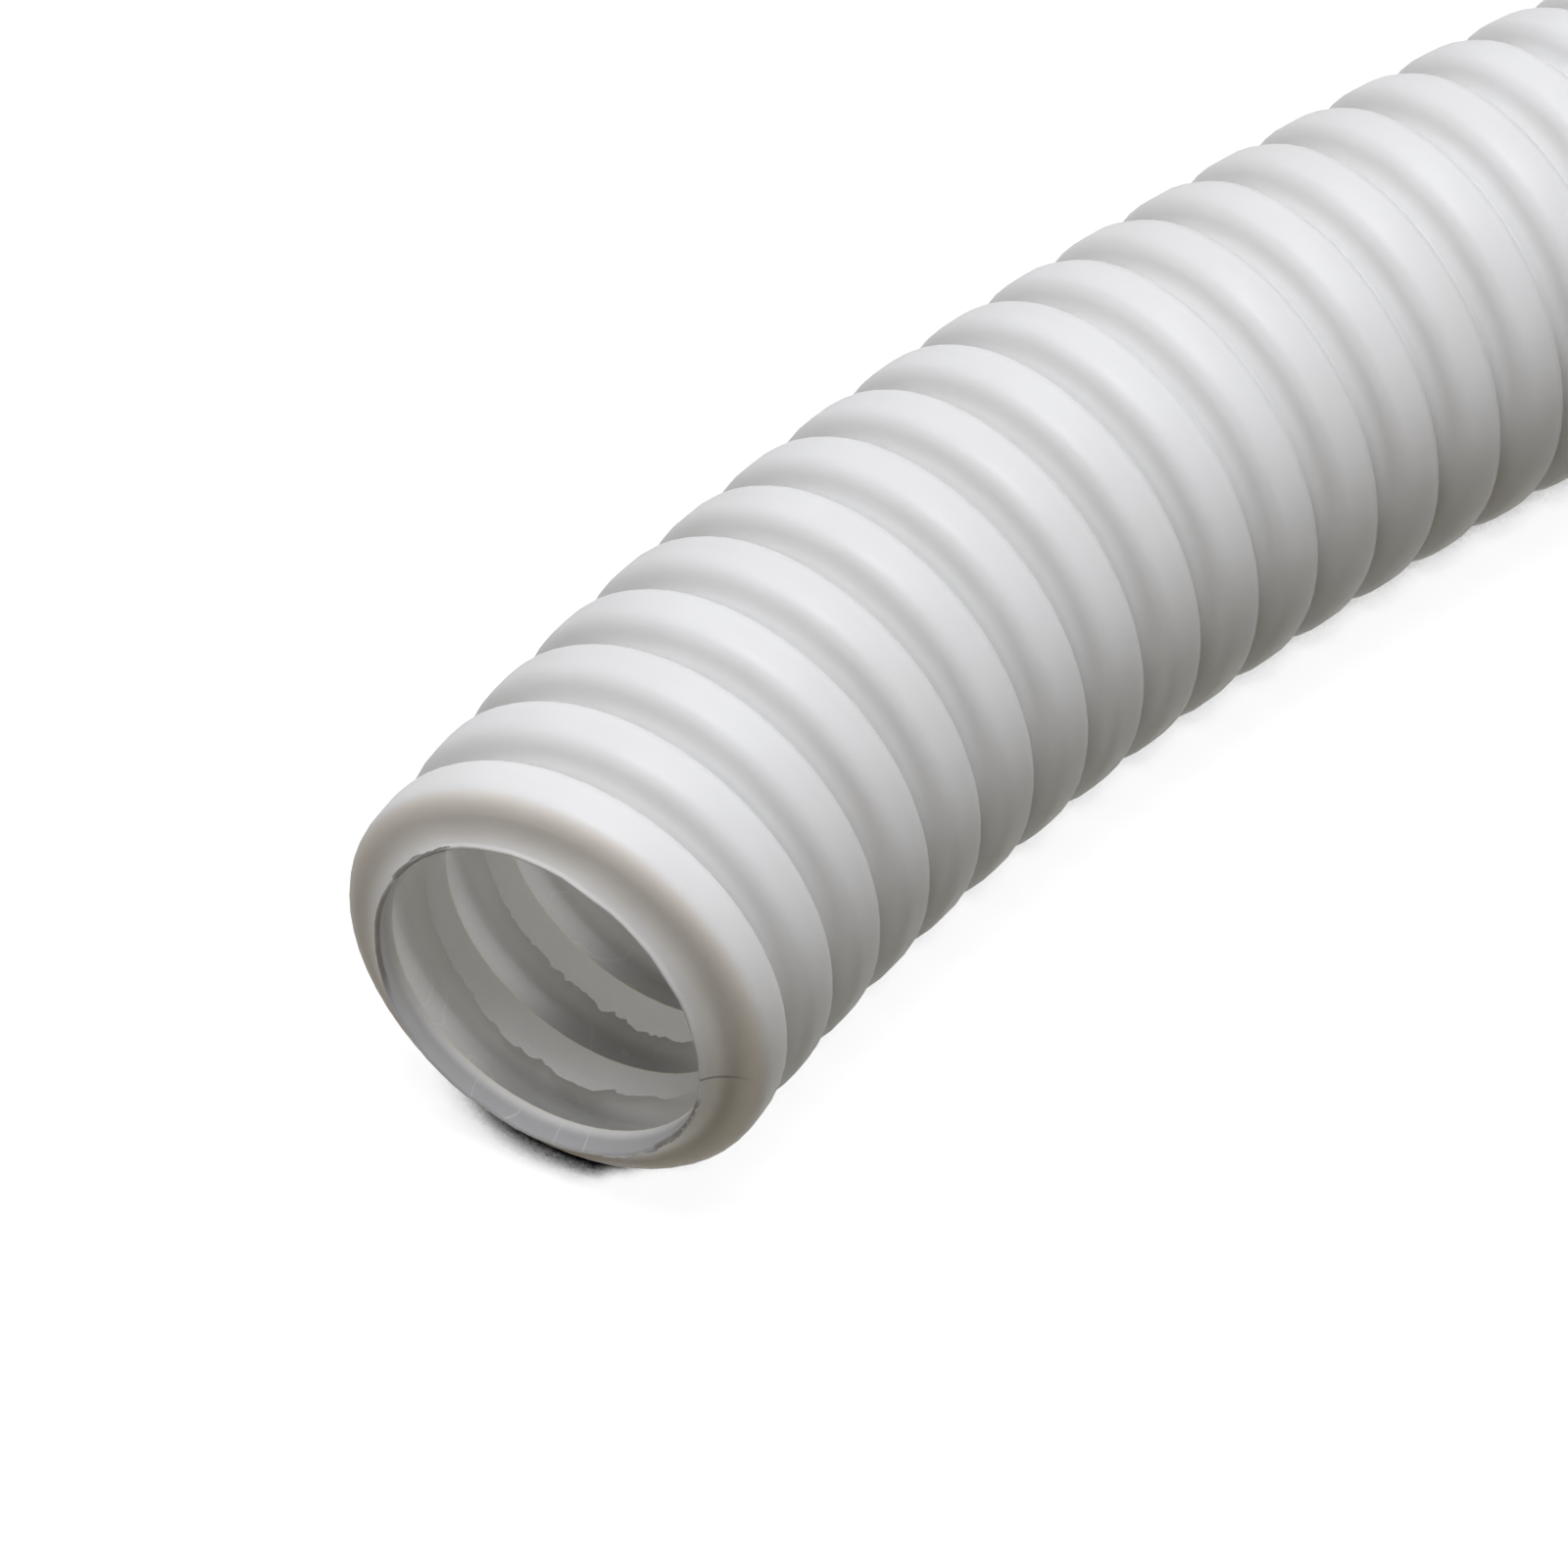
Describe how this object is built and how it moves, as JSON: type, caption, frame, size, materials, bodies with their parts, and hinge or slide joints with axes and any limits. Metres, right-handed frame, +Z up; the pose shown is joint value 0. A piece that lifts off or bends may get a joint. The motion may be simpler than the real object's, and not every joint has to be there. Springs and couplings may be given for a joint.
{
  "type": "corrugated conduit",
  "caption": "Flexible corrugated plastic conduit, thin ring-waved wall, open at both ends, with the slight curl of coiled stock toward one end.",
  "frame": {"origin": "middle of the straight end, on the axis of the bore", "axes": "+X along the bore and out of the straight end; +Z up from the floor that it lies on; the other end curls toward -Y"},
  "size_m": [0.5042, 0.0609, 0.032],
  "materials": {
    "conduit_plastic": "satin, slightly see-through"
  },
  "bodies": {
    "root": {"conduit": "conduit_plastic"}
  },
  "joints": []
}
